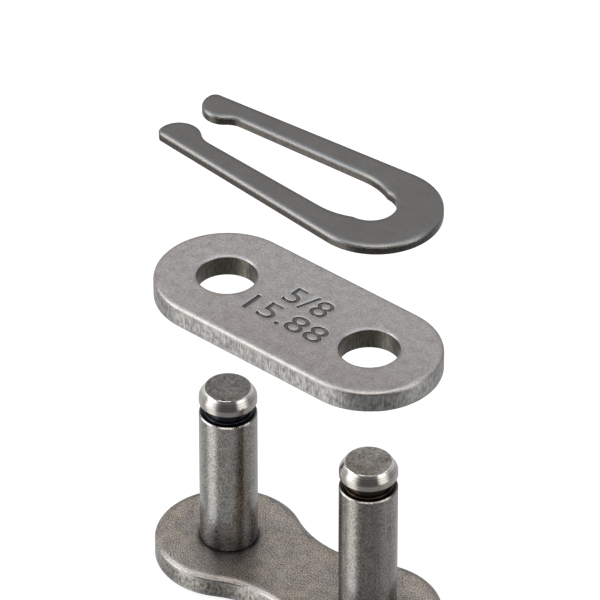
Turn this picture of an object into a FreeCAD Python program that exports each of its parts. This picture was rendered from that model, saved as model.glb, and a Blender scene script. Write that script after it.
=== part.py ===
import FreeCAD, Part
import math
import os

# A connecting link for a 5/8 inch pitch roller chain, taken apart: the pin plate stands on
# the riveted ends of its two pins, the cover plate is held over the pins, and the spring clip
# over the cover plate. All lengths are millimetres.
# X runs along the link towards the clip's closed end, Y across it, Z along the pins.
# The origin is at the foot of the link, midway between the two pins.

# The chain: the distance between the pins, and the room between the plates for the inner links
pitch = 15.875
plate_gap = 11.4

# The pins
pin_radius = 2.545
groove_depth = 0.545
groove_root_radius = 0.12
shank_chamfer = 0.12
head_height = 1.4
head_chamfer_height = 0.8
head_chamfer_width = 0.475
head_rim_radius = 0.08
head_shoulder_radius = 0.6
head_edge_break = 0.06
seat_step = 0.18
shoulder_chamfer = 0.06
rivet_height = 0.4
rivet_spread = 0.48
rivet_countersink = 0.4
dimple_radius = 1.1
dimple_depth = 0.22

# The pin plate
plate_thickness = 2.0
plate_lobe_radius = 6.5
plate_waist_depth = 2.1
plate_inner_edge_radius = 0.3
plate_outer_edge_radius = 0.2

# The cover plate
cover_thickness = 2.0
cover_end_radius = 6.3
cover_hole_clearance = 0.055
cover_hole_rim_radius = 0.18
cover_top_edge_radius = 0.35
cover_bottom_edge_radius = 0.15

# The spring clip. Its slot is widest where the shoulders begin, ahead of the round eye.
clip_thickness = 0.8
clip_top_edge_radius = 0.15
clip_bottom_edge_radius = 0.06
seat_clearance = 0.07
eye_clearance = 0.2
slot_taper_degrees = 3.43
shoulder_length = 3.14
nub_radius = 0.3
nose_width = 4.03
nose_radius = 5.65
leg_taper_degrees = 5.28
mouth_half_width = 1.0
bump_radius = 1.9
tip_corner_radius = 0.75

# The play of the seated pieces along the pins, and how far above their seats they are held
cover_below_groove = 0.2
clip_below_play = 0.1
clip_above_play = 0.23
cover_lift = 14.8
clip_lift = 13.83

# Heights that follow from the sizes above
plate_bottom = rivet_height
plate_top = plate_bottom + plate_thickness
cover_seat = plate_top + plate_gap
groove_bottom = cover_seat + cover_thickness + cover_below_groove
groove_top = groove_bottom + clip_below_play + clip_thickness + clip_above_play
head_top = groove_top + head_height
cover_bottom = cover_seat + cover_lift
cover_top = cover_bottom + cover_thickness
clip_bottom = cover_top + cover_below_groove + clip_below_play + clip_lift
clip_top = clip_bottom + clip_thickness

# Places and radii that several pieces share
pin_x = pitch / 2
neck_radius = pin_radius - groove_depth
seat_radius = pin_radius - seat_step
rivet_radius = seat_radius + rivet_spread
cover_hole_radius = pin_radius + cover_hole_clearance


def point(x, y, z=0.0):
    return FreeCAD.Vector(x, y, z)


def line(start, end):
    return Part.LineSegment(start, end).toShape()


def lines_through(points):
    return [line(start, end) for start, end in zip(points, points[1:])]


def polar(centre, radius, degrees):
    """The point on a circle at an angle counted from +X towards +Y."""
    angle = math.radians(degrees)
    return centre + point(radius * math.cos(angle), radius * math.sin(angle))


def arc(centre, radius, first, last):
    """An arc about a centre from one angle to another, in degrees, either way round."""
    start = polar(centre, radius, first)
    middle = polar(centre, radius, (first + last) / 2)
    end = polar(centre, radius, last)
    return Part.Arc(start, middle, end).toShape()


def heading(centre, target):
    """The angle from a centre to a point, from 0 to 360 degrees."""
    return math.degrees(math.atan2(target.y - centre.y, target.x - centre.x)) % 360


def extruded(edges, bottom, height):
    """A closed flat outline made solid from one height upwards."""
    face = Part.Face(Part.Wire(edges))
    face.translate(point(0, 0, bottom))
    return face.extrude(point(0, 0, height))


def rounded_at(solid, height, radius):
    """The solid with every edge that lies at one height rounded."""
    level = [edge for edge in solid.Edges if all(math.isclose(v.Z, height) for v in edge.Vertexes)]
    return solid.makeFillet(radius, level)


def pin_plate():
    """The fixed outer plate: two round lobes joined by two hollow flanks, with the pins' press-fit holes.

    Each flank is one arc that runs smoothly into both lobes. The holes take the stepped ends of
    the pins, and are countersunk on the outer face, where those ends are spread into them.
    """
    waist = plate_lobe_radius - plate_waist_depth
    flank_radius = (pin_x**2 + waist**2 - plate_lobe_radius**2) / (2 * plate_waist_depth)
    right, left = point(pin_x, 0), point(-pin_x, 0)
    above, below = point(0, waist + flank_radius), point(0, -waist - flank_radius)
    lean = heading(right, above)
    outline = [
        arc(right, plate_lobe_radius, -lean, lean),
        arc(above, flank_radius, lean - 180, -lean),
        arc(left, plate_lobe_radius, 180 - lean, 180 + lean),
        arc(below, flank_radius, lean, 180 - lean),
    ]
    plate = extruded(outline, plate_bottom, plate_thickness)
    plate = rounded_at(plate, plate_top, plate_inner_edge_radius)
    plate = rounded_at(plate, plate_bottom, plate_outer_edge_radius)
    for x in (-pin_x, pin_x):
        foot = point(x, 0, plate_bottom)
        hole = Part.makeCylinder(seat_radius, plate_thickness, foot)
        countersink = Part.makeCone(rivet_radius, seat_radius, rivet_countersink, foot)
        plate = plate.cut(hole.fuse(countersink))
    return plate


def pin(x):
    """A turned pin: spread and dimpled foot, stepped seat, plain shank, clip groove and chamfered head.

    The shank's lower end is a shoulder that stands on the pin plate. The half section is drawn
    with the radius along X and the height along Y, stood upright and turned about the pin's axis.
    The head's chamfer is then rounded at the rim and where it runs into the side.
    """
    dimple_curve = (dimple_radius**2 + dimple_depth**2) / (2 * dimple_depth)
    dimple_centre = point(0, dimple_depth - dimple_curve)
    dimple_edge = point(dimple_radius, 0)
    rim_centre = point(rivet_radius - rivet_height, rivet_height)
    root_x = neck_radius + groove_root_radius
    lower_root = point(root_x, groove_bottom + groove_root_radius)
    upper_root = point(root_x, groove_top - groove_root_radius)
    section = [
        arc(dimple_centre, dimple_curve, 90, heading(dimple_centre, dimple_edge)),
        line(dimple_edge, point(rim_centre.x, 0)),
        arc(rim_centre, rivet_height, -90, 0),
    ]
    section += lines_through([
        point(rivet_radius, rivet_height),
        point(seat_radius, rivet_height + rivet_countersink),
        point(seat_radius, plate_top),
        point(pin_radius - shoulder_chamfer, plate_top),
        point(pin_radius, plate_top + shoulder_chamfer),
        point(pin_radius, groove_bottom - shank_chamfer),
        point(pin_radius - shank_chamfer, groove_bottom),
        point(root_x, groove_bottom),
    ])
    section.append(arc(lower_root, groove_root_radius, 270, 180))
    section.append(line(point(neck_radius, lower_root.y), point(neck_radius, upper_root.y)))
    section.append(arc(upper_root, groove_root_radius, 180, 90))
    section += lines_through([
        point(root_x, groove_top),
        point(pin_radius - head_edge_break, groove_top),
        point(pin_radius, groove_top + head_edge_break),
        point(pin_radius, head_top - head_chamfer_height),
        point(pin_radius - head_chamfer_width, head_top),
        point(0, head_top),
        point(0, dimple_depth),
    ])
    face = Part.Face(Part.Wire(section))
    face.rotate(point(0, 0), point(1, 0), 90)
    turned = face.revolve(point(0, 0), point(0, 0, 1), 360)
    turned = rounded_at(turned, head_top, head_rim_radius)
    turned = rounded_at(turned, head_top - head_chamfer_height, head_shoulder_radius)
    turned.translate(point(x, 0))
    return turned


def cover_plate():
    """The removable outer plate: straight sides, round ends and two holes that slide over the pins."""
    right, left = point(pin_x, 0), point(-pin_x, 0)
    outline = [
        arc(right, cover_end_radius, -90, 90),
        line(polar(right, cover_end_radius, 90), polar(left, cover_end_radius, 90)),
        arc(left, cover_end_radius, 90, 270),
        line(polar(left, cover_end_radius, 270), polar(right, cover_end_radius, -90)),
    ]
    plate = extruded(outline, cover_bottom, cover_thickness)
    plate = rounded_at(plate, cover_top, cover_top_edge_radius)
    plate = rounded_at(plate, cover_bottom, cover_bottom_edge_radius)
    for x in (-pin_x, pin_x):
        plate = plate.cut(Part.makeCylinder(cover_hole_radius, cover_thickness, point(x, 0, cover_bottom)))
    rims = [
        edge
        for edge in plate.Edges
        if isinstance(edge.Curve, Part.Circle) and math.isclose(edge.Curve.Radius, cover_hole_radius)
    ]
    return plate.makeFillet(cover_hole_rim_radius, rims)


def clip_leg():
    """The outline of one leg of the clip, from the middle of the eye round to the middle of the nose.

    The slot hugs the neck of the left pin, opens out in a straight taper towards the closed
    end, is drawn in again by a shoulder that ends in a blunt nub, and closes in a round eye
    about the neck of the right pin. At the open end a round bump narrows the mouth, so that
    the clip snaps over the neck. The outside runs straight from the tip to the nose.
    """
    seat_centre, eye_centre = point(-pin_x, 0), point(pin_x, 0)
    seat_radius = neck_radius + seat_clearance
    eye_radius = neck_radius + eye_clearance

    slot_direction = polar(point(0, 0), 1, slot_taper_degrees)
    slot_start = polar(seat_centre, seat_radius, 90 + slot_taper_degrees)
    slot_length = (pin_x - shoulder_length - slot_start.x) / slot_direction.x
    shoulder_start = slot_start + slot_direction * slot_length
    nub = polar(eye_centre, eye_radius, 90)
    inward = polar(point(0, 0), 1, slot_taper_degrees - 90)
    reach = nub - shoulder_start
    shoulder_radius = reach.dot(reach) / (2 * reach.dot(inward))
    shoulder_centre = shoulder_start + inward * shoulder_radius

    bump_rise = mouth_half_width + bump_radius
    bump_run = math.sqrt((seat_radius + bump_radius) ** 2 - bump_rise**2)
    bump_centre = seat_centre + point(-bump_run, bump_rise)
    bump_start = heading(seat_centre, bump_centre)

    nose_centre = point(pin_x + eye_radius + nose_width - nose_radius, 0)
    along = polar(point(0, 0), 1, leg_taper_degrees)
    outward = polar(point(0, 0), 1, 90 + leg_taper_degrees)
    corner_height = nose_centre.dot(outward) + nose_radius - tip_corner_radius
    corner_rise = corner_height - bump_centre.dot(outward)
    corner_run = math.sqrt((bump_radius - tip_corner_radius) ** 2 - corner_rise**2)
    corner_centre = along * (bump_centre.dot(along) - corner_run) + outward * corner_height
    bump_end = heading(bump_centre, corner_centre)

    return [
        arc(eye_centre, eye_radius, 0, 90),
        arc(shoulder_centre, shoulder_radius, heading(shoulder_centre, nub), 90 + slot_taper_degrees),
        line(shoulder_start, slot_start),
        arc(seat_centre, seat_radius, 90 + slot_taper_degrees, bump_start),
        arc(bump_centre, bump_radius, bump_start - 180, bump_end - 360),
        arc(corner_centre, tip_corner_radius, bump_end, 90 + leg_taper_degrees),
        line(corner_centre + outward * tip_corner_radius, nose_centre + outward * nose_radius),
        arc(nose_centre, nose_radius, 90 + leg_taper_degrees, 0),
    ]


def spring_clip():
    """The flat spring clip: two tapering legs joined by a broad nose, open towards the left pin."""
    far_leg = clip_leg()
    near_leg = [edge.mirror(point(0, 0), point(0, 1)) for edge in reversed(far_leg)]
    clip = extruded(far_leg + near_leg, clip_bottom, clip_thickness)
    nub_y = neck_radius + eye_clearance
    nubs = [
        edge
        for edge in clip.Edges
        if all(math.isclose(v.X, pin_x) and math.isclose(abs(v.Y), nub_y) for v in edge.Vertexes)
    ]
    clip = clip.makeFillet(nub_radius, nubs)
    clip = rounded_at(clip, clip_top, clip_top_edge_radius)
    return rounded_at(clip, clip_bottom, clip_bottom_edge_radius)


pieces = {
    "pin_plate": pin_plate(),
    "left_pin": pin(-pin_x),
    "right_pin": pin(pin_x),
    "cover_plate": cover_plate(),
    "spring_clip": spring_clip(),
}

os.makedirs("parts", exist_ok=True)
for name, shape in pieces.items():
    shape.exportStep(f"parts/{name}.step")
    print(name, "solids", len(shape.Solids), "valid", shape.isValid(), "volume", round(shape.Volume, 2))
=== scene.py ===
import math
import bpy
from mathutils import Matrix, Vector


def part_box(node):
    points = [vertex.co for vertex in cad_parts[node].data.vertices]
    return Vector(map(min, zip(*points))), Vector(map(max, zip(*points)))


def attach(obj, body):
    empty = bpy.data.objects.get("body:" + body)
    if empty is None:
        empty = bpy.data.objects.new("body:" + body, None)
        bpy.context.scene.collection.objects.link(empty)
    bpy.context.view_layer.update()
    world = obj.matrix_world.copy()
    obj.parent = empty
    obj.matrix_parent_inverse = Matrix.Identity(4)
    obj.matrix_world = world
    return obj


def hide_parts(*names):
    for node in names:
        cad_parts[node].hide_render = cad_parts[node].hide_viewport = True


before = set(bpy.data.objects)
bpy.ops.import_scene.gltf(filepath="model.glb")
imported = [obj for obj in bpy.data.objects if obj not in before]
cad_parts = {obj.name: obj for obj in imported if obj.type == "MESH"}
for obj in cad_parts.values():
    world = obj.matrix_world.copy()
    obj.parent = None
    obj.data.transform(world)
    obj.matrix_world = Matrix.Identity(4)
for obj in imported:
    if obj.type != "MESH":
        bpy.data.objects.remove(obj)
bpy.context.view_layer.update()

MM = 0.001

# Camera
# The link is seen from the front right and above with a long lens, so that its pieces stack up
# in the picture and the lower end of the pin plate runs out of it.
view_azimuth = math.radians(40.628)
view_elevation = math.radians(36.716)
view_distance = 619.758 * MM
aim_across = 0.1892 * MM
aim_up = 23.5418 * MM
aim_height = 2.4 * MM

back = Vector((
    math.sin(view_azimuth) * math.cos(view_elevation),
    -math.cos(view_azimuth) * math.cos(view_elevation),
    math.sin(view_elevation),
))
right = Vector((math.cos(view_azimuth), math.sin(view_azimuth), 0))
upwards = back.cross(right)
camera_data = bpy.data.cameras.new("camera")
camera_data.lens = 427.556
camera_data.sensor_width = 36
camera_data.clip_start = 0.05
camera_data.clip_end = 20
camera = bpy.data.objects.new("camera", camera_data)
camera.rotation_mode = "QUATERNION"
camera.rotation_quaternion = (-back).to_track_quat("-Z", "Y")
camera.location = (
    right * aim_across + upwards * aim_up + back * view_distance + Vector((0, 0, aim_height))
)
bpy.context.scene.collection.objects.link(camera)
bpy.context.scene.camera = camera
bpy.context.scene.view_settings.view_transform = "Standard"


# Studio
# A pale sweep under a broad lamp overhead. Soft panels stand at the left and right, and the air
# between them is darker, which is what draws the bands down the round steel.
BLACK = (0, 0, 0, 1)
WHITE = (1, 1, 1, 1)


def fill(tree, socket, value):
    """Sets an input socket to a constant, or links it to an output."""
    if isinstance(value, bpy.types.NodeSocket):
        tree.links.new(value, socket)
    else:
        socket.default_value = value


def node(tree, kind, inputs=None, **settings):
    """A new node with its settings made and its inputs filled. Returns its outputs."""
    made = tree.nodes.new(kind)
    for key, value in settings.items():
        setattr(made, key, value)
    for key, value in (inputs or {}).items():
        fill(tree, made.inputs[key], value)
    return made.outputs


def maths(tree, operation, *values):
    """The result of one Math node."""
    return node(tree, "ShaderNodeMath", dict(enumerate(values)), operation=operation)[0]


def eased(tree, value, start, end, low=0.0, high=1.0):
    """A value that goes smoothly from low to high while another goes from start to end."""
    limits = {"Value": value, "From Min": start, "From Max": end, "To Min": low, "To Max": high}
    return node(tree, "ShaderNodeMapRange", limits, interpolation_type="SMOOTHSTEP")["Result"]


def mixed(tree, factor, first, second, blend="MIX"):
    """Two colours mixed."""
    made = tree.nodes.new("ShaderNodeMix")
    made.data_type = "RGBA"
    made.blend_type = blend
    for key, value in (("Factor_Float", factor), ("A_Color", first), ("B_Color", second)):
        fill(tree, next(socket for socket in made.inputs if socket.identifier == key), value)
    return next(socket for socket in made.outputs if socket.identifier == "Result_Color")


def node_group(name, inputs, outputs):
    """An empty node group. Returns it with the sockets it is given and the ones it puts out.

    An input with a value is a number, and one without is a vector.
    """
    group = bpy.data.node_groups.new(name, "ShaderNodeTree")
    for socket_name, value in inputs.items():
        kind = "NodeSocketVector" if value is None else "NodeSocketFloat"
        socket = group.interface.new_socket(socket_name, in_out="INPUT", socket_type=kind)
        if value is not None:
            socket.default_value = value
    for socket_name, kind in outputs.items():
        kind = "NodeSocket" + kind
        group.interface.new_socket(socket_name, in_out="OUTPUT", socket_type=kind)
    given = group.nodes.new("NodeGroupInput").outputs
    return group, given, group.nodes.new("NodeGroupOutput").inputs


def place_group(tree, group, inputs):
    """A node group placed in a tree with its own values. Returns its outputs."""
    made = tree.nodes.new("ShaderNodeGroup")
    made.node_tree = group
    for key, value in inputs.items():
        fill(tree, made.inputs[key], value)
    return made.outputs


# A soft-edged panel of the studio, given by the direction of its middle and its half sizes.
studio_panel, given, result = node_group(
    "studio_panel",
    {
        "Ray": None, "Azimuth": 0.0, "Elevation": 0.0,
        "Half width": 0.3, "Half height": 0.3, "Softness": 0.2,
    },
    {"Mask": "Float"},
)
axes = node(studio_panel, "ShaderNodeSeparateXYZ", {0: given["Ray"]})
turn = maths(studio_panel, "ARCTAN2", axes["Y"], axes["X"])
turn = maths(studio_panel, "SUBTRACT", turn, given["Azimuth"])
turn = maths(studio_panel, "ABSOLUTE", maths(studio_panel, "WRAP", turn, math.pi, -math.pi))
rise = maths(studio_panel, "ARCSINE", axes["Z"])
rise = maths(studio_panel, "SUBTRACT", rise, given["Elevation"])
rise = maths(studio_panel, "ABSOLUTE", rise)
masks = []
for reach, half in ((turn, given["Half width"]), (rise, given["Half height"])):
    outer = maths(studio_panel, "ADD", half, given["Softness"])
    inner = maths(studio_panel, "SUBTRACT", half, given["Softness"])
    masks.append(eased(studio_panel, reach, outer, inner))
studio_panel.links.new(maths(studio_panel, "MULTIPLY", *masks), result["Mask"])

world = bpy.data.worlds.new("studio")
bpy.context.scene.world = world
world.use_nodes = True
air = world.node_tree
air.nodes.clear()
ray = node(air, "ShaderNodeTexCoord")["Generated"]
upness = node(air, "ShaderNodeSeparateXYZ", {0: ray})["Z"]


def panel_mask(azimuth, elevation, half_width, half_height, softness):
    """The mask of one studio panel. Its place and size are given in degrees."""
    return place_group(air, studio_panel, {
        "Ray": ray,
        "Azimuth": math.radians(azimuth),
        "Elevation": math.radians(elevation),
        "Half width": math.radians(half_width),
        "Half height": math.radians(half_height),
        "Softness": math.radians(softness),
    })["Mask"]


low_air = (0.42, 0.42, 0.42, 1)
high_air = (0.36, 0.36, 0.36, 1)
air_blend = (-0.9, 0.9)
# Each panel: azimuth, elevation, half width, half height, softness (degrees), and its light.
# The dark flag comes before the others and takes light away.
dark_flag = (-49, 11, 36, 24, 8, (0.35, 0.35, 0.35, 1))
studio_panels = {
    "back sweep": (128, 30, 60, 20, 12, (0.57, 0.54, 0.51, 1)),
    "back sky": (122, 58, 66, 9, 5, (0.8, 1.15, 1.4, 1)),
    "left box": (-118, -22, 20, 48, 10, (1.55, 1.53, 1.5, 1)),
    "left wing": (180, -30, 30, 40, 14, (0.42, 0.42, 0.42, 1)),
    "left key": (-142, 34, 24, 20, 8, (4.2, 4.15, 4.1, 1)),
    "right box": (8, 14, 17, 18, 8, (1.5, 1.47, 1.42, 1)),
    "right key": (20, 42, 17, 11, 6, (3.6, 3.55, 3.5, 1)),
    "right reflector": (80, -30, 30, 30, 16, (0.3, 0.3, 0.3, 1)),
    "front top": (-49, 60, 42, 17, 7, (2.2, 2.08, 1.9, 1)),
    "front reflector": (25, -35, 18, 26, 10, (0.2, 0.2, 0.19, 1)),
    "overhead halo": (0, 90, 180, 34, 10, (0.55, 0.7, 0.85, 1)),
    "overhead box": (0, 90, 180, 24, 5, (2.5, 2.2, 1.9, 1)),
}
light = mixed(air, eased(air, upness, *air_blend), low_air, high_air)
*place, shade = dark_flag
light = mixed(air, panel_mask(*place), light, shade, "MULTIPLY")
for *place, strength in studio_panels.values():
    light = mixed(air, 1.0, light, mixed(air, panel_mask(*place), BLACK, strength), "ADD")
light = mixed(air, node(air, "ShaderNodeLightPath")["Is Camera Ray"], light, WHITE)
background = node(air, "ShaderNodeBackground", {"Color": light, "Strength": 1.0})
node(air, "ShaderNodeOutputWorld", {"Surface": background[0]})

floor_grey = (0.14, 0.14, 0.14, 1)
floor_glow = 0.9

bpy.ops.object.select_all(action="DESELECT")
bpy.ops.mesh.primitive_plane_add(size=6)
floor = bpy.context.object
floor.name = "floor"
floor.visible_glossy = False
floor_paint = bpy.data.materials.new("floor_paint")
floor_paint.use_nodes = True
tree = floor_paint.node_tree
tree.nodes.clear()
matt = node(tree, "ShaderNodeBsdfDiffuse", {"Color": floor_grey})
path = node(tree, "ShaderNodeLightPath")
seen = maths(tree, "MAXIMUM", path["Is Glossy Ray"], path["Is Transmission Ray"])
seen = maths(tree, "MAXIMUM", path["Is Camera Ray"], seen)
glow = node(tree, "ShaderNodeEmission", {"Strength": maths(tree, "MULTIPLY", seen, floor_glow)})
both = node(tree, "ShaderNodeAddShader", {0: matt[0], 1: glow[0]})
node(tree, "ShaderNodeOutputMaterial", {"Surface": both[0]})
floor.data.materials.append(floor_paint)


# Pin plate
# The fixed outer plate: blanked steel with hollow flanks, hardened and then tumbled, which leaves
# a grainy satin with paler, rubbed edges, made brighter still by a painted highlight. Painted
# shade darkens it round the pins. Its two pins are pressed in and riveted underneath.
NOISE_MIDDLE = 0.5
NOISE_RANGE = (0.3, 0.7)
NOISE_GAIN = 4
DARKEST_TONE = 0.1


def steel(name, roughness):
    """A metallic material. Its plain roughness counts only where its nodes aren't read.

    Returns it with its tree and the inputs of its shader.
    """
    material = bpy.data.materials.new(name)
    material.use_nodes = True
    shader = material.node_tree.nodes["Principled BSDF"]
    shader.inputs["Metallic"].default_value = 1.0
    shader.inputs["Roughness"].default_value = roughness
    return material, material.node_tree, shader.inputs


def tinted(tree, colour, tone):
    """A colour made lighter or darker by a tone, which leaves it alone where it is 1."""
    return node(tree, "ShaderNodeVectorMath", {0: colour, "Scale": tone}, operation="SCALE")[0]


def coated(tree, colour, mask, coat, share):
    """A colour under a coat, which hides a share of it where the mask is 1."""
    return mixed(tree, maths(tree, "MULTIPLY", mask, share), colour, coat)


def noise(tree, place, size, detail):
    """A pattern of values around a half, with features of a given size."""
    linked = isinstance(size, bpy.types.NodeSocket)
    scale = maths(tree, "DIVIDE", 1.0, size) if linked else 1 / size
    inputs = {"Vector": place, "Scale": scale, "Detail": detail}
    return node(tree, "ShaderNodeTexNoise", inputs)[0]


def ranged(tree, pattern, low, high):
    """A noise pattern turned into values from low to high."""
    return eased(tree, pattern, *NOISE_RANGE, low, high)


def swing(tree, pattern, amount):
    """A noise pattern turned into steps up and down, about as far as the amount."""
    gain = maths(tree, "MULTIPLY", amount, NOISE_GAIN)
    return maths(tree, "MULTIPLY", maths(tree, "SUBTRACT", pattern, NOISE_MIDDLE), gain)


def tone_with(tree, steps):
    """A tone of 1 with steps up and down, kept above black."""
    return maths(tree, "MAXIMUM", maths(tree, "ADD", steps, 1.0), DARKEST_TONE)


def dented(tree, height, depth, normal=None):
    """The surface normal with a height pattern pressed in, at most as deep as depth."""
    inputs = {"Height": height, "Distance": depth, "Strength": 1.0}
    if normal is not None:
        inputs["Normal"] = normal
    return node(tree, "ShaderNodeBump", inputs)["Normal"]


def finish_with(piece, material):
    """Gives every face of a piece one material."""
    for material_slot in piece.material_slots:
        material_slot.material = material


# Tumbling leaves two patterns: a fine speckle and a soft mottling. Tone is about 1.
tumbled_grain, given, result = node_group(
    "tumbled_grain",
    {
        "Position": None, "Speck size": 0.2 * MM, "Speckle": 0.3,
        "Cloud size": 1.0 * MM, "Clouding": 0.2,
    },
    {"Tone": "Float", "Height": "Float"},
)
speck = noise(tumbled_grain, given["Position"], given["Speck size"], detail=2.5)
cloud = noise(tumbled_grain, given["Position"], given["Cloud size"], detail=3.0)
speckle = swing(tumbled_grain, speck, given["Speckle"])
clouding = swing(tumbled_grain, cloud, given["Clouding"])
tone = tone_with(tumbled_grain, maths(tumbled_grain, "ADD", speckle, clouding))
tumbled_grain.links.new(tone, result["Tone"])
tumbled_grain.links.new(speck, result["Height"])

# Edges seen as rounded over a given width. Mask is 1 along an edge. Normal leans outwards there,
# by Lean on upward faces and by Wall lean at the top of walls. Spread carries the lean further in.
mask_departure = (0.06, 0.45)
upward_facing = (0.6, 0.95)
least_departure = 0.03
rolled_edge, given, result = node_group(
    "rolled_edge",
    {"Width": 0.2 * MM, "Lean": 0.0, "Wall lean": 0.0, "Spread": 0.0},
    {"Mask": "Float", "Normal": "Vector"},
)
rounded = node(rolled_edge, "ShaderNodeBevel", {"Radius": given["Width"]}, samples=6)["Normal"]
facing = node(rolled_edge, "ShaderNodeNewGeometry")["Normal"]
departure = node(
    rolled_edge, "ShaderNodeVectorMath", {0: rounded, 1: facing}, operation="SUBTRACT"
)[0]
size = node(rolled_edge, "ShaderNodeVectorMath", {0: departure}, operation="LENGTH")["Value"]
rolled_edge.links.new(eased(rolled_edge, size, *mask_departure), result["Mask"])
upward = node(rolled_edge, "ShaderNodeSeparateXYZ", {0: facing})["Z"]
upward = eased(rolled_edge, upward, *upward_facing)
rising = node(rolled_edge, "ShaderNodeSeparateXYZ", {0: departure})["Z"]
rising = maths(rolled_edge, "GREATER_THAN", rising, 0.0)
on_wall = maths(rolled_edge, "MULTIPLY", rising, maths(rolled_edge, "SUBTRACT", 1.0, upward))
face_lean = maths(rolled_edge, "MULTIPLY", upward, given["Lean"])
wall_lean = maths(rolled_edge, "MULTIPLY", on_wall, given["Wall lean"])
spread = maths(rolled_edge, "MAXIMUM", size, least_departure)
spread = maths(rolled_edge, "POWER", spread, given["Spread"])
lean = maths(rolled_edge, "DIVIDE", maths(rolled_edge, "ADD", face_lean, wall_lean), spread)
departure = tinted(rolled_edge, departure, lean)
leaning = node(rolled_edge, "ShaderNodeVectorMath", {0: facing, 1: departure}, operation="ADD")[0]
leaning = node(rolled_edge, "ShaderNodeVectorMath", {0: leaning}, operation="NORMALIZE")[0]
rolled_edge.links.new(leaning, result["Normal"])

# Painted shade in corners and under neighbours: 1 deep in a corner, 0 in the open.
corner_grime, given, result = node_group(
    "corner_grime",
    {"Reach": 1.0 * MM, "Open": 0.85, "Closed": 0.2},
    {"Mask": "Float"},
)
openness = node(
    corner_grime, "ShaderNodeAmbientOcclusion", {"Distance": given["Reach"]}, samples=12
)["AO"]
grime_mask = eased(corner_grime, openness, given["Open"], given["Closed"])
corner_grime.links.new(grime_mask, result["Mask"])

# Blanked walls: streaks that run down the thickness. Wall is 1 on walls and 0 on level faces.
wall_levelness = (0.5, 0.15)
blanked_wall, given, result = node_group(
    "blanked_wall",
    {"Position": None, "Streak width": 0.2 * MM, "Streak length": 2.5 * MM, "Streaking": 0.4},
    {"Wall": "Float", "Tone": "Float", "Height": "Float"},
)
facing = node(blanked_wall, "ShaderNodeNewGeometry")["True Normal"]
facing = node(blanked_wall, "ShaderNodeSeparateXYZ", {0: facing})
levelness = maths(blanked_wall, "ABSOLUTE", facing["Z"])
blanked_wall.links.new(eased(blanked_wall, levelness, *wall_levelness), result["Wall"])
across = maths(blanked_wall, "DIVIDE", 1.0, given["Streak width"])
down = maths(blanked_wall, "DIVIDE", 1.0, given["Streak length"])
stretch = node(blanked_wall, "ShaderNodeCombineXYZ", {"X": across, "Y": across, "Z": down})[0]
stretched = node(
    blanked_wall, "ShaderNodeVectorMath", {0: given["Position"], 1: stretch}, operation="MULTIPLY"
)[0]
streak = noise(blanked_wall, stretched, size=1.0, detail=3.0)
tone = tone_with(blanked_wall, swing(blanked_wall, streak, given["Streaking"]))
blanked_wall.links.new(tone, result["Tone"])
blanked_wall.links.new(streak, result["Height"])

hue_patches = (0.38, 0.62)
plate_colours = {
    "brown": (0.24, 0.209, 0.187, 1),
    "yellow": (0.25, 0.212, 0.179, 1),
    "wall": (0.25, 0.237, 0.213),
    "roll": (0.31, 0.318, 0.33, 1),
    "edge": (0.9, 0.9, 0.9, 1),
    "grime": (0.042, 0.045, 0.054, 1),
}

material, tree, shader = steel("tumbled_pin_plate_steel", 0.5)
position = node(tree, "ShaderNodeTexCoord")["Object"]
grain = place_group(tree, tumbled_grain, {
    "Position": position, "Speck size": 0.12 * MM, "Speckle": 1.1,
    "Cloud size": 1.3 * MM, "Clouding": 0.25,
})
wall = place_group(tree, blanked_wall, {
    "Position": position, "Streak width": 0.22 * MM, "Streak length": 0.4 * MM, "Streaking": 0.9,
})
roll = place_group(tree, rolled_edge, {"Width": 0.9 * MM, "Lean": 1.4, "Spread": 0.25})
edge = place_group(tree, rolled_edge, {"Width": 0.3 * MM})
grime = place_group(tree, corner_grime, {"Reach": 3.4 * MM, "Open": 0.95, "Closed": 0.4})
hue = eased(tree, noise(tree, position, size=2.6 * MM, detail=3.0), *hue_patches)
colour = mixed(tree, hue, plate_colours["brown"], plate_colours["yellow"])
colour = tinted(tree, colour, grain["Tone"])
colour = mixed(tree, wall["Wall"], colour, tinted(tree, plate_colours["wall"], wall["Tone"]))
# A painted highlight on the edges: the rolled band is tinted cool and the very edge is coated near
# white, which is partly the paler rubbing of tumbling.
colour = coated(tree, colour, roll["Mask"], plate_colours["roll"], share=0.8)
colour = coated(tree, colour, edge["Mask"], plate_colours["edge"], share=0.75)
# Painted shade darkens the plate round the foot of each pin and in its corners.
colour = coated(tree, colour, grime["Mask"], plate_colours["grime"], share=0.62)
fill(tree, shader["Base Color"], colour)
fill(tree, shader["Roughness"], ranged(tree, grain["Height"], 0.27, 0.38))
normal = dented(tree, grain["Height"], depth=0.013 * MM, normal=roll["Normal"])
fill(tree, shader["Normal"], normal)
finish_with(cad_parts["pin_plate"], material)


# Pins
# Two turned and ground pins of hardened steel. The head is chamfered on a lathe, which leaves fine
# rings, the clip groove below it is black from hardening, and the shank is a fine speckled satin.
plate_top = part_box("pin_plate")[1].z
head_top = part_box("left_pin")[1].z
# Where one part of a pin gives way to the next: two heights, or two radii for the rim of the face
face_start = (head_top - 0.07 * MM, head_top - 0.05 * MM)
face_rim = (2.04 * MM, 1.96 * MM)
rim_start = (head_top - 0.35 * MM, head_top - 0.13 * MM)
chamfer_start = (head_top - 0.92 * MM, head_top - 0.72 * MM)
head_start = (head_top - 1.41 * MM, head_top - 1.39 * MM)
groove_start = (head_top - 2.56 * MM, head_top - 2.53 * MM)
foot_reflection_end = (plate_top + 6.0 * MM, plate_top + 1.0 * MM)
foot_shadow = (plate_top, plate_top + 3.2 * MM)
# The foot of a shank is painted darker and cooler by these parts of its colour: painted shade and
# a painted reflection of the plate
foot_shade_tone = 0.52
foot_reflection_cooling = (0.9, 0.97, 1.07)
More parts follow.
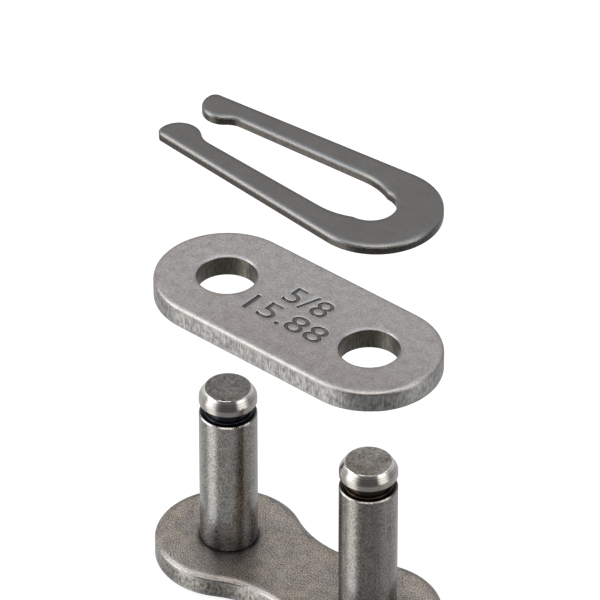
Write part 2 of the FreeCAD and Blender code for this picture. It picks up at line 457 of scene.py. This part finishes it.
# A band down one side of each shank is painted in, a painted reflection: lighter on the left pin
# and darker on the right. Its tone is given per pin, and its width by the cosines of the angles at
# which it starts and is full.
band_angle = math.radians(-50)
band_side = (math.cos(band_angle), math.sin(band_angle), 0)
band_width = (0.93, 0.985)
least_radius = 0.1 * MM
ring_width = 0.09 * MM
ring_relief = 0.3
chamfer_polish = -0.08
face_dullness = 0.18
turned_colours = {
    "head": (0.4, 0.385, 0.36),
    "chamfer": (0.44, 0.425, 0.4),
    "rim": (0.85, 0.84, 0.82, 1),
    "grime": (0.03, 0.028, 0.026, 1),
}
pin_tints = {
    "left_pin": {
        "shank": (0.266, 0.26, 0.247),
        "painted_reflection_band": 1.42,
        "face": (0.152, 0.142, 0.132),
        "groove": (0.022, 0.024, 0.03, 1),
    },
    "right_pin": {
        "shank": (0.25, 0.24, 0.225),
        "painted_reflection_band": 0.84,
        "face": (0.235, 0.218, 0.198),
        "groove": (0.03, 0.022, 0.016, 1),
    },
}

for pin_name, tints in pin_tints.items():
    low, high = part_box(pin_name)
    pin_middle = (low + high) / 2
    material, tree, shader = steel("turned_" + pin_name + "_steel", 0.3)
    position = node(tree, "ShaderNodeTexCoord")["Object"]
    offset = {"Vector": position, "Location": (-pin_middle.x, -pin_middle.y, 0)}
    centred = node(tree, "ShaderNodeMapping", offset, vector_type="POINT")[0]
    axes = node(tree, "ShaderNodeSeparateXYZ", {0: centred})
    height = axes["Z"]
    flat = node(tree, "ShaderNodeCombineXYZ", {"X": axes["X"], "Y": axes["Y"]})[0]
    radius = node(tree, "ShaderNodeVectorMath", {0: flat}, operation="LENGTH")["Value"]

    shank_grain = place_group(tree, tumbled_grain, {
        "Position": position, "Speck size": 0.14 * MM, "Speckle": 0.7,
        "Cloud size": 1.1 * MM, "Clouding": 0.16,
    })
    face_grain = place_group(tree, tumbled_grain, {
        "Position": position, "Speck size": 0.26 * MM, "Speckle": 0.5,
        "Cloud size": 0.9 * MM, "Clouding": 0.3,
    })
    grime = place_group(tree, corner_grime, {"Reach": 0.5 * MM})
    ring_inputs = {
        "W": maths(tree, "SUBTRACT", radius, height), "Scale": 1 / ring_width, "Detail": 2.0,
    }
    rings = node(tree, "ShaderNodeTexNoise", ring_inputs, noise_dimensions="1D")[0]

    on_face = eased(tree, height, *face_start)
    on_face = maths(tree, "MULTIPLY", on_face, eased(tree, radius, *face_rim))
    at_rim = eased(tree, height, *rim_start)
    on_chamfer = eased(tree, height, *chamfer_start)
    on_head = eased(tree, height, *head_start)
    in_groove = eased(tree, height, *groove_start)
    in_groove = maths(tree, "MULTIPLY", in_groove, maths(tree, "SUBTRACT", 1.0, on_head))
    in_foot_reflection = eased(tree, height, *foot_reflection_end)

    towards_band = node(tree, "ShaderNodeVectorMath", {0: flat, 1: band_side}, operation="DOT_PRODUCT")
    towards_band = maths(tree, "DIVIDE", towards_band["Value"], maths(tree, "MAXIMUM", radius, least_radius))
    painted_reflection_band = eased(tree, towards_band, *band_width, 1.0, tints["painted_reflection_band"])
    foot_shade = eased(tree, height, *foot_shadow, foot_shade_tone, 1.0)
    reflection_cooled = [part * change for part, change in zip(tints["shank"], foot_reflection_cooling)]
    shank = mixed(tree, in_foot_reflection, (*tints["shank"], 1), (*reflection_cooled, 1))
    shank = tinted(tree, shank, maths(tree, "MULTIPLY", shank_grain["Tone"], foot_shade))
    shank = tinted(tree, shank, painted_reflection_band)
    head = tinted(tree, turned_colours["head"], ranged(tree, rings, 0.7, 1.25))
    chamfer = tinted(tree, turned_colours["chamfer"], ranged(tree, rings, 0.65, 1.3))
    face = tinted(tree, tints["face"], face_grain["Tone"])
    colour = mixed(tree, on_head, shank, head)
    colour = mixed(tree, on_chamfer, colour, chamfer)
    # The rim of the face is coated pale: partly its polish, partly a painted highlight.
    colour = coated(tree, colour, at_rim, turned_colours["rim"], share=0.6)
    colour = mixed(tree, on_face, colour, face)
    colour = mixed(tree, in_groove, colour, tints["groove"])
    # Painted shade darkens the foot of each pin and the corners of its groove.
    colour = coated(tree, colour, grime["Mask"], turned_colours["grime"], share=0.6)
    fill(tree, shader["Base Color"], colour)

    roughness = ranged(tree, shank_grain["Height"], 0.21, 0.29)
    roughness = maths(tree, "ADD", roughness, eased(tree, on_chamfer, 0, 1, 0, chamfer_polish))
    roughness = maths(tree, "ADD", roughness, eased(tree, on_face, 0, 1, 0, face_dullness))
    fill(tree, shader["Roughness"], roughness)
    shallow_rings = maths(tree, "MULTIPLY", rings, ring_relief)
    relief = mixed(tree, on_head, shank_grain["Height"], shallow_rings)
    relief = mixed(tree, on_face, relief, face_grain["Height"])
    fill(tree, shader["Normal"], dented(tree, relief, depth=0.008 * MM))
    finish_with(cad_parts[pin_name], material)


# Cover plate
# The removable outer plate: blanked from 2 mm steel strip, with two holes that slide over the
# pins. It is tumbled to a pale satin, its walls keep the streaks of the blanking tool, and two
# rows of plain numbers, the pitch in inches and in millimetres, are stamped into its upper face.
cover_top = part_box("cover_plate")[1].z
# Each row of numbers: how far its middle is along the plate and its foot across it, and its width
stamp_rows = {"5/8": (0.0, 0.33 * MM, 4.55 * MM), "15.88": (0.07 * MM, -2.65 * MM, 8.3 * MM)}
stamp_height = 2.3 * MM
stamp_depth = 0.16 * MM
stamp_slope = 0.035 * MM
type_size = 3.2 * MM
type_thinning = 0.022 * MM
smooth_angle = math.radians(35)

cover = bpy.data.objects.new("stamped_cover_plate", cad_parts["cover_plate"].data.copy())
bpy.context.scene.collection.objects.link(cover)
bpy.ops.object.select_all(action="DESELECT")
cover.select_set(True)
bpy.context.view_layer.objects.active = cover
bpy.ops.mesh.customdata_custom_splitnormals_clear()
bpy.ops.object.mode_set(mode="EDIT")
bpy.ops.mesh.select_mode(type="FACE")
bpy.ops.mesh.select_all(action="SELECT")
bpy.ops.mesh.remove_doubles(threshold=0.0005 * MM)
bpy.ops.object.mode_set(mode="OBJECT")

for figures, (middle_x, foot_y, row_width) in stamp_rows.items():
    bpy.ops.object.select_all(action="DESELECT")
    bpy.ops.object.text_add(location=(0, 0, 0))
    punch = bpy.context.object
    punch.data.body = figures
    punch.data.size = type_size
    punch.data.align_x = "CENTER"
    punch.data.resolution_u = 6
    punch.data.extrude = stamp_depth - stamp_slope
    punch.data.bevel_depth = stamp_slope
    punch.data.bevel_resolution = 0
    punch.data.offset = -type_thinning
    bpy.ops.object.convert(target="MESH")
    corners = [Vector(corner) for corner in punch.bound_box]
    first, last = corners[0], corners[6]
    punch.scale = (row_width / (last.x - first.x), stamp_height / (last.y - first.y), 1)
    punch.location = (
        middle_x - punch.scale.x * (first.x + last.x) / 2,
        foot_y - punch.scale.y * first.y,
        cover_top,
    )
    bpy.ops.object.transform_apply(location=True, rotation=True, scale=True)
    bpy.ops.object.select_all(action="DESELECT")
    cover.select_set(True)
    bpy.context.view_layer.objects.active = cover
    cut = cover.modifiers.new("stamp", "BOOLEAN")
    cut.operation = "DIFFERENCE"
    cut.solver = "EXACT"
    cut.object = punch
    bpy.ops.object.modifier_apply(modifier=cut.name)
    bpy.data.objects.remove(punch, do_unlink=True)

bpy.ops.object.shade_smooth_by_angle(angle=smooth_angle)
weights = cover.modifiers.new("flat faces stay flat", "WEIGHTED_NORMAL")
weights.keep_sharp = True
bpy.ops.object.modifier_apply(modifier=weights.name)

# Where the walls of the holes and the stamped numbers end: two distances or heights for each
hole_middle = 7.9375 * MM
hole_end = (2.76 * MM, 2.66 * MM)
stamp_start = (cover_top - 0.015 * MM, cover_top - 0.08 * MM)
stamp_end_x = (5.0 * MM, 4.9 * MM)
stamp_end_y = (4.0 * MM, 3.5 * MM)
patch_size = 0.5 * MM
patch_range = (0.33, 0.52)
patch_tones = (0.7, 1.07)
# The wall is paler at the tip of the right end
paler_side = (1, -0.15, 0)
paler_reach = (13.8 * MM, 14.5 * MM)
paler_tone = 1.7
cover_colours = {
    "top": (0.308, 0.284, 0.273),
    "outside": (0.285, 0.282, 0.272),
    "inside": (0.1, 0.095, 0.08),
    "roll": (0.29, 0.3, 0.305, 1),
    "edge": (0.6, 0.61, 0.61, 1),
    "stamp": (0.125, 0.113, 0.104, 1),
    "grime": (0.04, 0.036, 0.03, 1),
}

material, tree, shader = steel("tumbled_cover_plate_steel", 0.4)
position = node(tree, "ShaderNodeTexCoord")["Object"]
axes = node(tree, "ShaderNodeSeparateXYZ", {0: position})
from_middle_x = maths(tree, "ABSOLUTE", axes["X"])
from_middle_y = maths(tree, "ABSOLUTE", axes["Y"])
grain = place_group(tree, tumbled_grain, {
    "Position": position, "Speck size": 0.2 * MM, "Speckle": 0.28,
    "Cloud size": 0.9 * MM, "Clouding": 0.15,
})
wall = place_group(tree, blanked_wall, {
    "Position": position, "Streak width": 0.11 * MM, "Streak length": 0.7 * MM, "Streaking": 0.55,
})
roll = place_group(tree, rolled_edge, {"Width": 0.6 * MM, "Lean": 0.9})
edge = place_group(tree, rolled_edge, {"Width": 0.13 * MM})
grime = place_group(tree, corner_grime, {"Reach": 0.6 * MM})

sideways = maths(tree, "SUBTRACT", from_middle_x, hole_middle)
from_hole = node(tree, "ShaderNodeCombineXYZ", {"X": sideways, "Y": axes["Y"]})[0]
from_hole = node(tree, "ShaderNodeVectorMath", {0: from_hole}, operation="LENGTH")["Value"]
in_hole = maths(tree, "MULTIPLY", eased(tree, from_hole, *hole_end), wall["Wall"])
stamp_shading = eased(tree, axes["Z"], *stamp_start)
stamp_shading = maths(tree, "MULTIPLY", stamp_shading, eased(tree, from_middle_x, *stamp_end_x))
stamp_shading = maths(tree, "MULTIPLY", stamp_shading, eased(tree, from_middle_y, *stamp_end_y))

patches = noise(tree, position, size=patch_size, detail=2.0)
patches = eased(tree, patches, *patch_range, *patch_tones)
towards_tip = node(
    tree, "ShaderNodeVectorMath", {0: position, 1: paler_side}, operation="DOT_PRODUCT"
)["Value"]
lightened = eased(tree, towards_tip, *paler_reach, 1.0, paler_tone)
top = tinted(tree, cover_colours["top"], grain["Tone"])
outside = tinted(tree, cover_colours["outside"], wall["Tone"])
outside = tinted(tree, tinted(tree, outside, patches), lightened)
inside = tinted(tree, cover_colours["inside"], wall["Tone"])
colour = mixed(tree, wall["Wall"], top, outside)
# A painted highlight on the edges: the rolled band is tinted cool and the very edge is coated
# pale, which is partly the paler rubbing of tumbling.
colour = coated(tree, colour, roll["Mask"], cover_colours["roll"], share=0.6)
colour = coated(tree, colour, edge["Mask"], cover_colours["edge"], share=0.65)
colour = mixed(tree, in_hole, colour, inside)
# The stamped strokes are coated dark, a painted shade in their hollows.
colour = mixed(tree, stamp_shading, colour, cover_colours["stamp"])
# Painted shade darkens the cover in its corners and in the stamped strokes.
colour = coated(tree, colour, grime["Mask"], cover_colours["grime"], share=0.5)
fill(tree, shader["Base Color"], colour)
fill(tree, shader["Roughness"], ranged(tree, grain["Height"], 0.34, 0.44))
relief = mixed(tree, wall["Wall"], grain["Height"], wall["Height"])
fill(tree, shader["Normal"], dented(tree, relief, depth=0.008 * MM, normal=roll["Normal"]))
cover.data.materials.clear()
cover.data.materials.append(material)
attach(cover, "cover_plate")
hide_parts("cover_plate")


# Spring clip
# A flat clip blanked from 0.8 mm spring steel and hardened dark. Tumbling has rolled its upper
# edges, so they catch a soft glow, and a painted highlight along their tops adds to it. Its walls
# are browner and scratched.
clip_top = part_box("spring_clip")[1].z
highlight_heights = (clip_top - 0.32 * MM, clip_top - 0.15 * MM)
brush_stretch = (1, 6, 1)
clip_colours = {
    "face": (0.14, 0.136, 0.134),
    "wall": (0.076, 0.07, 0.064),
    "lightened": (0.28, 0.275, 0.262, 1),
}

material, tree, shader = steel("hardened_clip_steel", 0.28)
position = node(tree, "ShaderNodeTexCoord")["Object"]
height = node(tree, "ShaderNodeSeparateXYZ", {0: position})["Z"]
grain = place_group(tree, tumbled_grain, {
    "Position": position, "Speck size": 0.16 * MM, "Speckle": 0.07,
    "Cloud size": 2.2 * MM, "Clouding": 0.07,
})
wall = place_group(tree, blanked_wall, {
    "Position": position, "Streak width": 0.2 * MM, "Streak length": 0.6 * MM, "Streaking": 0.3,
})
roll = place_group(tree, rolled_edge, {"Width": 0.8 * MM, "Lean": 0.9, "Spread": 0.1})
edge = place_group(tree, rolled_edge, {"Width": 0.4 * MM, "Wall lean": 1.5})
stretched = {"Vector": position, "Scale": brush_stretch}
stretched = node(tree, "ShaderNodeMapping", stretched, vector_type="POINT")[0]
brushing = noise(tree, stretched, size=0.9 * MM, detail=3.0)
# A painted highlight along the top of the rolled edges, partly the paler rubbing of tumbling.
lightened = maths(tree, "MULTIPLY", edge["Mask"], eased(tree, height, *highlight_heights))
colour = tinted(tree, clip_colours["face"], grain["Tone"])
colour = tinted(tree, colour, ranged(tree, brushing, 0.97, 1.03))
colour = mixed(tree, wall["Wall"], colour, tinted(tree, clip_colours["wall"], wall["Tone"]))
colour = coated(tree, colour, lightened, clip_colours["lightened"], share=0.65)
fill(tree, shader["Base Color"], colour)
fill(tree, shader["Roughness"], ranged(tree, brushing, 0.26, 0.28))
normal = mixed(tree, wall["Wall"], roll["Normal"], edge["Normal"])
fill(tree, shader["Normal"], dented(tree, brushing, depth=0.0008 * MM, normal=normal))
finish_with(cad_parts["spring_clip"], material)
